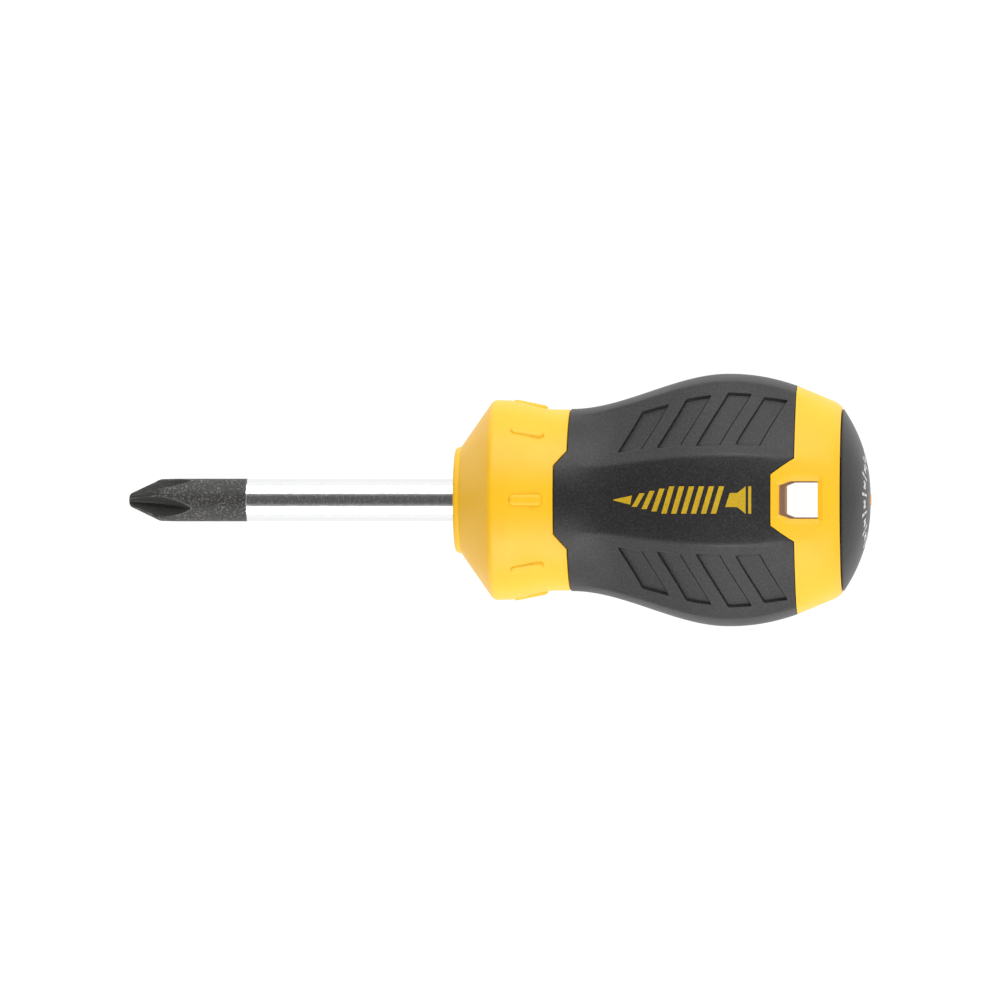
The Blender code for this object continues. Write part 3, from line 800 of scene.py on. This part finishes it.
def makeCollar():
    nose, rear = collarLow.x, collarHigh.x + collar["rearGrow"]
    shoulder = collar["coneEnd"] + 1.6
    outline = roundedOutline([
        (nose, collar["bore"], 0), (nose, collar["face"], collar["faceRound"]),
        (nose + collar["step"], collar["face"] + 0.12, 0.12),
        (collar["coneEnd"], collar["coneRadius"], collar["coneRound"]), (shoulder, barrelRadius(shoulder), 0),
    ])
    rows = [(p.x, p.y, 0.0) for p in outline]
    cone = max(range(len(rows) - 1), key=lambda i: rows[i + 1][1] - rows[i][1])
    low, high = rows[cone], rows[cone + 1]
    between = [(mix(low[0], high[0], t), mix(low[1], high[1], t), 0.0) for t in spaced(0, 1, 6)[1:-1]]
    rows[cone + 1:cone + 1] = between
    for x in spaced(shoulder, rear, 24)[1:]:
        rows.append((x, None, smooth((x - 57.0) / (rear - 57.0))))
    firstSeat = next(i for i, row in enumerate(rows) if row[0] > collar["seatStart"])
    corners = [Vector((nose + 2.2, collar["bore"])), Vector((nose + 2.2, 6.2)),
               Vector((collar["seatStart"], collar["seat"]))]
    rootAngle = math.asin(collar["tongueRootHalf"] / collar["waist"])
    tipAngle = math.asin(collar["tongueHalf"] / collar["waist"])
    angles = spaced(0, tipAngle, 8, False) + spaced(tipAngle, rootAngle, 5, False)
    columns = allQuarters([(angle, 0) for angle in angles + spaced(rootAngle, math.pi / 2, 20)])

    # How far the rear edge is cut back at a column, to let the grip's tongue in.
    def cutBack(angle):
        side = collar["waist"] * math.sin(angle)
        share = (collar["tongueRootHalf"] - side) / (collar["tongueRootHalf"] - collar["tongueHalf"])
        return collar["tongueReach"] * min(max(share, 0.0), 1.0)

    def outerAt(row, column):
        x, radius, follow = row
        x -= cutBack(column[1]) * follow
        return around(x, quarterAngle(column[0], column[1]), barrelRadius(x) if radius is None else radius)

    def innerAt(row, column):
        i = rows.index(row)
        angle = quarterAngle(column[0], column[1])
        if i >= firstSeat:
            return around(row[0] - cutBack(column[1]) * row[2], angle, collar["seat"])
        t = 2 * i / firstSeat
        x, radius = corners[int(t)].lerp(corners[int(t) + 1], t - int(t))
        return around(x, angle, radius)

    piece = wallFromGrid("noseCollar", rows, columns, outerAt, innerAt, yellowPlastic, collar["edgeRound"])
    gather(piece, makeRibs())
    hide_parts("nose_collar")
    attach(piece, "root")


# One rib has round ends and follows the barrel's taper; ringOfCopies makes the rest.
def makeRibs():
    half = rib["width"] / 2
    ends = ((rib["end"] - half, -90), (rib["start"] + half, 90))
    outline = [
        (x + half * math.cos(math.radians(turn + step)), half * math.sin(math.radians(turn + step)))
        for x, turn in ends for step in spaced(0, 180, 10)
    ]
    bm = bmesh.new()

    def topAt(x):
        return mix(*rib["top"], (x - rib["start"]) / (rib["end"] - rib["start"]))

    top = bm.faces.new([bm.verts.new(Vector((x, y, topAt(x))) * mm) for x, y in outline])
    walls = bmesh.ops.extrude_face_region(bm, geom=[top])["geom"]
    foot = [v for v in walls if isinstance(v, bmesh.types.BMVert)]
    bmesh.ops.translate(bm, vec=(0, 0, -rib["sink"] * mm), verts=foot)
    edges = [e for e in bm.edges if not any(v in foot for v in e.verts)]
    bmesh.ops.bevel(bm, geom=edges, offset=rib["edgeRound"] * mm, segments=3, affect="EDGES", profile=0.5)
    piece = fromBmesh("collarRibs", bm, yellowPlastic)
    piece.data.shade_smooth()
    return repeat(piece, ringOfCopies, {"Count": rib["count"], "First Angle": 0.0, "Finish": yellowPlastic})


makeCollar()
print("nose collar made")


cap = {
    "radius": capHigh.y + 0.12, "rear": dotHigh.x - 0.1, "front": bandHigh.x + 0.25, "fullness": 2.28,
    "spigot": 6.0, "dotBore": 1.0,
}
ringMarks = {
    "count": 14, "middle": 5.9, "tall": 2.1, "wide": 1.0, "stroke": 0.38, "lift": 0.03, "firstAngle": 0.1,
}
dot = {"radius": 0.86, "proud": 0.14, "rounding": 0.14, "front": dotLow.x}


def domeX(radius):
    return cap["front"] + (cap["rear"] - cap["front"]) * (1 - (radius / cap["radius"]) ** cap["fullness"])


def makeCap():
    rim = cap["radius"] - 0.06
    outline = [(capLow.x, 0.0), (capLow.x, cap["spigot"] - 0.2), (cap["front"], cap["spigot"]),
               (cap["front"], rim - 0.25), (cap["front"] + 0.07, rim - 0.08)]
    outline += [(domeX(radius), radius) for radius in spaced(rim - 0.1, cap["dotBore"] + 0.06, 34)]
    outline += [(domeX(cap["dotBore"]) - 0.05, cap["dotBore"]), (dot["front"] - 0.3, cap["dotBore"]),
                (dot["front"] - 0.3, 0.0)]
    piece = turnedSolid("endCap", outline, capPlastic)
    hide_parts("end_cap")
    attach(piece, "root")


# A strip on the dome: from one place to another, each (distance from the ring's middle line, sideways).
def addStrip(bm, start, end, width):
    start, end = Vector(start), Vector(end)
    side = (end - start).orthogonal().normalized() * width / 2
    corners = (start - side, end - side, end + side, start + side)
    layers = []
    for lift in (ringMarks["lift"], -0.05):
        layer = []
        for out, across in corners:
            radius = ringMarks["middle"] + out
            layer.append(bm.verts.new(around(domeX(radius) + lift, across / ringMarks["middle"], radius)))
        layers.append(layer)
    top, foot = layers
    bm.faces.new(top)
    bm.faces.new(foot)
    for k in range(4):
        n = (k + 1) % 4
        bm.faces.new((top[k], top[n], foot[n], foot[k]))


# Plain crosses and bars, printed round the dome.
def makeRingMarks():
    bm = bmesh.new()
    tall, wide = ringMarks["tall"] / 2, ringMarks["wide"] / 2
    pitch = math.pi * ringMarks["middle"] / ringMarks["count"]
    addStrip(bm, (-0.7 * wide, -wide), (0.7 * wide, wide), ringMarks["stroke"])
    addStrip(bm, (-0.7 * wide, wide), (0.7 * wide, -wide), ringMarks["stroke"])
    addStrip(bm, (-tall, pitch), (tall, pitch), ringMarks["stroke"])
    piece = fromBmesh("capRingMarks", bm, whiteInk)
    values = {"Count": ringMarks["count"], "First Angle": ringMarks["firstAngle"], "Finish": whiteInk}
    repeat(piece, ringOfCopies, values)
    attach(piece, "root")


def makeDot():
    top = cap["rear"] + dot["proud"]
    outline = roundedOutline([
        (top, 0.0, 0), (top - 0.03, dot["radius"], dot["rounding"]), (dot["front"], dot["radius"], 0.05),
        (dot["front"], 0.0, 0),
    ])
    piece = turnedSolid("colourDot", [(p.x, p.y) for p in outline], dotPlastic, 48)
    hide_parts("colour_dot")
    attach(piece, "root")


makeCap()
makeRingMarks()
makeDot()
print("end cap, its marks and the dot made")


# A plain screw, printed on the front panel.
emblem = {
    "start": 67.3, "end": 86.2, "half": 1.85, "shank": 0.95, "threads": 9, "threadPitch": 1.36,
    "threadStart": 70.4, "threadWidth": 0.72, "threadLean": 0.55, "firstThread": 0.5, "fullThread": 3,
    "lift": 0.035, "thickness": 0.09,
}


# A flat quadrilateral cut into small cells, so that it can be laid over the panel.
def addPatch(bm, corners, across, along=4):
    a, b, c, d = [Vector(corner) for corner in corners]
    grid = [[bm.verts.new((*(a.lerp(b, s).lerp(d.lerp(c, s), t) * mm), 0))
             for s in spaced(0, 1, across)] for t in spaced(0, 1, along)]
    for low, high in zip(grid, grid[1:]):
        for k in range(across):
            bm.faces.new((low[k], low[k + 1], high[k + 1], high[k]))


def makeEmblem():
    half, lean = emblem["half"], emblem["threadLean"]
    bm = bmesh.new()
    width = emblem["threadWidth"]
    addPatch(bm, [(-lean, -half), (width - lean, -half), (width + lean, half), (lean, half)], 2, 12)
    threads = fromBmesh("emblemThreads", bm, yellowInk)
    repeat(threads, rowOfCopies, {
        "Count": emblem["threads"], "Pitch": emblem["threadPitch"] * mm, "First Size": emblem["firstThread"],
        "Full From": emblem["fullThread"], "Finish": yellowInk,
    })
    threads.data.transform(Matrix.Translation((emblem["threadStart"] * mm, 0, 0)))
    bm = bmesh.new()
    point, end, shank = emblem["start"], emblem["end"], emblem["shank"]
    neck = emblem["threadStart"] + emblem["threads"] * emblem["threadPitch"] + 0.35
    addPatch(bm, [(point, -0.05), (emblem["threadStart"] - 0.75, -0.62), (emblem["threadStart"] - 0.5, 0.62),
                  (point, 0.05)], 6)
    addPatch(bm, [(neck - 0.3, -shank), (end - 1.9, -shank), (end - 1.9, shank), (neck + 0.3, shank)], 4, 8)
    addPatch(bm, [(end - 1.9, -shank), (end - 0.75, -half), (end - 0.75, half), (end - 1.9, shank)], 4, 12)
    addPatch(bm, [(end - 0.4, -half), (end, -half), (end, half), (end - 0.4, half)], 2, 12)
    piece = fromBmesh("panelScrewEmblem", bm, yellowInk)
    gather(piece, threads)
    bm = bmesh.new()
    bm.from_mesh(piece.data)
    bmesh.ops.remove_doubles(bm, verts=bm.verts, dist=0.002 * mm)
    for vertex in bm.verts:
        x, y = vertex.co.x / mm, vertex.co.y / mm
        vertex.co = skinPoint(x, angleAtSide(x, y), emblem["lift"])
    bm.to_mesh(piece.data)
    bm.free()
    wall = piece.modifiers.new("ink", "SOLIDIFY")
    wall.thickness = emblem["thickness"] * mm
    wall.offset = -1.0
    bake(piece)
    shadeRound(piece)
    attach(piece, "root")


makeEmblem()
print("emblem made")


blade = {
    "radius": bladeHigh.z - 0.06, "end": bladeHigh.x, "endRound": 0.5, "pointRadius": 0.85,
    "pointRound": 0.38, "pointAngle": 26.0, "edgeSharp": 0.035, "wornWidth": 0.06,
    "fluteAngle": -23.0, "fluteHalf": 46.0, "fluteFloor": 0.16, "fluteEnd": 10.0,
    "wingStart": 62.0, "wingEnd": 74.0, "wingWidth": bladeHigh.y * 2, "wingThickness": 2.2,
    "wingRoot": 2.4, "wingSlope": 2.0,
}


def fluteRoot(x):
    return 0.4 + 0.078 * x + 0.00276 * x**3


# The blade's radius at a station and angle: the turned point, with the nearest flute cut into it. The other
# two values say how near the place is to a flute's edge, and whether it is inside one.
def bladeRadius(x, angle):
    rounding = blade["pointRound"]
    turned = blade["pointRadius"] + max(x, 0.0) * math.tan(math.radians(blade["pointAngle"]))
    turned += math.sqrt(max(rounding**2 - max(rounding - x, 0.0) ** 2, 0.0)) - rounding
    turned = softMin(turned, blade["radius"], 0.12)
    tail = max(x - (blade["end"] - blade["endRound"]), 0.0)
    turned -= blade["endRound"] - math.sqrt(max(blade["endRound"] ** 2 - tail**2, 0.0))
    if x > blade["fluteEnd"]:
        return turned, 0.0, 0.0
    away = abs(math.remainder(angle - math.radians(blade["fluteAngle"]), math.pi / 2))
    slope, floor = math.tan(math.radians(blade["fluteHalf"])), blade["fluteFloor"]
    root = fluteRoot(max(x, 0.0))
    wall = (root * slope - floor) / max(math.cos(away) * slope - math.sin(away), 1e-3)
    flute = max(root / math.cos(away), wall)
    worn = math.exp(-(((turned - flute) / blade["wornWidth"]) ** 2))
    return softMin(turned, flute, blade["edgeSharp"]), worn, smooth((turned - flute) / 0.1)


def makeBlade():
    sides = 256
    rounding = blade["pointRound"]
    stations = [rounding * (1 - math.cos(t)) for t in spaced(0.0, math.pi / 2, 6, False)]
    stations += spaced(rounding, 10.5, 110, False) + spaced(10.5, 79.5, 46, False)
    stations += [blade["end"] - blade["endRound"] * (1 - math.sin(t)) for t in spaced(0.0, math.pi / 2, 5)]
    bm = bmesh.new()
    marks = [bm.verts.layers.float.new(name) for name in ("worn", "fluted")]
    rings = []
    for x in stations:
        ring = []
        for k in range(sides):
            angle = 2 * math.pi * k / sides
            radius, *shares = bladeRadius(x, angle)
            ring.append(bm.verts.new(around(x, angle, radius)))
            for mark, share in zip(marks, shares):
                ring[-1][mark] = share
        rings.append(ring)
    for low, high in zip(rings, rings[1:]):
        for k in range(sides):
            n = (k + 1) % sides
            bm.faces.new((low[k], low[n], high[n], high[k]))
    for ring, x in ((rings[0], 0.0), (rings[-1], blade["end"])):
        pole = bm.verts.new((x * mm, 0, 0))
        for k in range(sides):
            bm.faces.new((ring[k], ring[(k + 1) % sides], pole))
    piece = fromBmesh("steelBlade", bm, bladeSteel)
    root, reach, slope = blade["wingRoot"], blade["wingWidth"] / 2, blade["wingSlope"]
    outline = [
        (blade["wingStart"], root), (blade["wingStart"] + slope, reach), (blade["wingEnd"] - slope, reach),
        (blade["wingEnd"], root),
    ]
    outline += [(x, -y) for x, y in reversed(outline)]
    wings = bmesh.new()
    flat = [wings.verts.new((x * mm, y * mm, -blade["wingThickness"] / 2 * mm)) for x, y in outline]
    raised = bmesh.ops.extrude_face_region(wings, geom=[wings.faces.new(flat)])["geom"]
    lift = Vector((0, 0, blade["wingThickness"] * mm))
    bmesh.ops.translate(wings, vec=lift, verts=[v for v in raised if isinstance(v, bmesh.types.BMVert)])
    wingPiece = fromBmesh("bladeWings", wings, bladeSteel)
    union = piece.modifiers.new("wings", "BOOLEAN")
    union.operation = "UNION"
    union.solver = "EXACT"
    union.object = wingPiece
    bake(piece)
    bpy.data.objects.remove(wingPiece)
    shadeRound(piece, 35)
    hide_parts("blade")
    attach(piece, "root")


makeBlade()
print("blade made")


studio = {
    "floorDrop": 17.35, "floorTones": ((0.12, 0.12, 0.12), (0.14, 0.14, 0.14)), "floorGlow": 0.93,
    "tilt": 3.7, "distance": 1400.0, "frameWidth": 137.2, "lookAt": (51.06, 0.0, 0.0),
    "boxPlace": (0.12, 0.53, 0.325), "boxTarget": (0.06, 0, 0), "boxSize": (0.7, 0.5), "boxPower": 3.45,
    "horizonLevel": 0.95, "overheadLevel": 0.125, "tipLevel": 0.16, "capLevel": 0.5,
}


def makeFloor():
    made, tree, shader, coordinates = newMaterial("floorPaper")
    drift = addNode(tree, "TexNoise", {"Scale": 6.0, "Detail": 2.0})
    tree.links.new(coordinates, drift.inputs["Vector"])
    paper = blendColours(tree, drift.outputs["Fac"], *studio["floorTones"])
    tree.links.new(paper, shader.inputs["Base Color"])
    shader.inputs["Roughness"].default_value = 0.85
    shader.inputs["Emission Color"].default_value = (1, 1, 1, 1)
    shader.inputs["Emission Strength"].default_value = studio["floorGlow"]
    bm = bmesh.new()
    bmesh.ops.create_grid(bm, x_segments=8, y_segments=8, size=1.6)
    bmesh.ops.translate(bm, vec=Vector((0.05, 0, -studio["floorDrop"] * mm)), verts=bm.verts)
    mesh = bpy.data.meshes.new("studioFloor")
    bm.to_mesh(mesh)
    bm.free()
    newObject("studioFloor", mesh, made)


# One softbox on each side of the tool: side is 1 or -1.
def softbox(name, side):
    light = bpy.data.lights.new(name, "AREA")
    light.shape = "RECTANGLE"
    light.size, light.size_y = studio["boxSize"]
    light.energy = studio["boxPower"]
    made = bpy.data.objects.new(name, light)
    bpy.context.scene.collection.objects.link(made)
    x, y, z = studio["boxPlace"]
    made.location = (x, y * side, z)
    made.rotation_euler = (Vector(studio["boxTarget"]) - made.location).to_track_quat("-Z", "Y").to_euler()


# A bright surround, darker overhead, where the camera and its operator stand, and towards the tool's two
# ends.
def makeSurround():
    world = bpy.data.worlds.new("studioSurround")
    bpy.context.scene.world = world
    world.use_nodes = True
    tree = world.node_tree
    background = tree.nodes["Background"]
    direction = addNode(tree, "TexCoord").outputs["Generated"]
    toOverhead = addNode(tree, "VectorMath", operation="DOT_PRODUCT")
    tree.links.new(direction, toOverhead.inputs[0])
    toOverhead.inputs[1].default_value = Vector((0.0, 0.03, 1.0))
    horizon, overhead = studio["horizonLevel"], studio["overheadLevel"]
    level = remap(tree, toOverhead.outputs["Value"], 0.64, 0.97, horizon, overhead, "SMOOTHSTEP")
    parts = addNode(tree, "SeparateXYZ")
    tree.links.new(direction, parts.inputs[0])
    behindTip = remap(tree, parts.outputs["X"], -0.8, 0.0, studio["tipLevel"], 1.0)
    behindCap = remap(tree, parts.outputs["X"], 0.0, 0.9, 1.0, studio["capLevel"])
    dimmed = math2(tree, "MULTIPLY", math2(tree, "MULTIPLY", level, behindTip), behindCap)
    tree.links.new(dimmed, background.inputs["Strength"])
    background.inputs["Color"].default_value = (1, 1, 1, 1)


def makeCamera():
    tilt = math.radians(studio["tilt"])
    data = bpy.data.cameras.new("studioCamera")
    data.sensor_width = 36.0
    data.lens = 36.0 * studio["distance"] / studio["frameWidth"]
    data.clip_end = 10.0
    camera = bpy.data.objects.new("studioCamera", data)
    bpy.context.scene.collection.objects.link(camera)
    camera.rotation_euler = (0, tilt, 0)
    back = Vector((math.sin(tilt), 0, math.cos(tilt)))
    camera.location = (Vector(studio["lookAt"]) + back * studio["distance"]) * mm
    bpy.context.scene.camera = camera


makeFloor()
makeSurround()
softbox("boxAbove", 1)
softbox("boxBelow", -1)
makeCamera()
bpy.context.scene.view_settings.view_transform = "Standard"
print("stage ready")

# The core stays as CAD made it and takes its own plastic.
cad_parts["core"].data.materials[0] = corePlastic
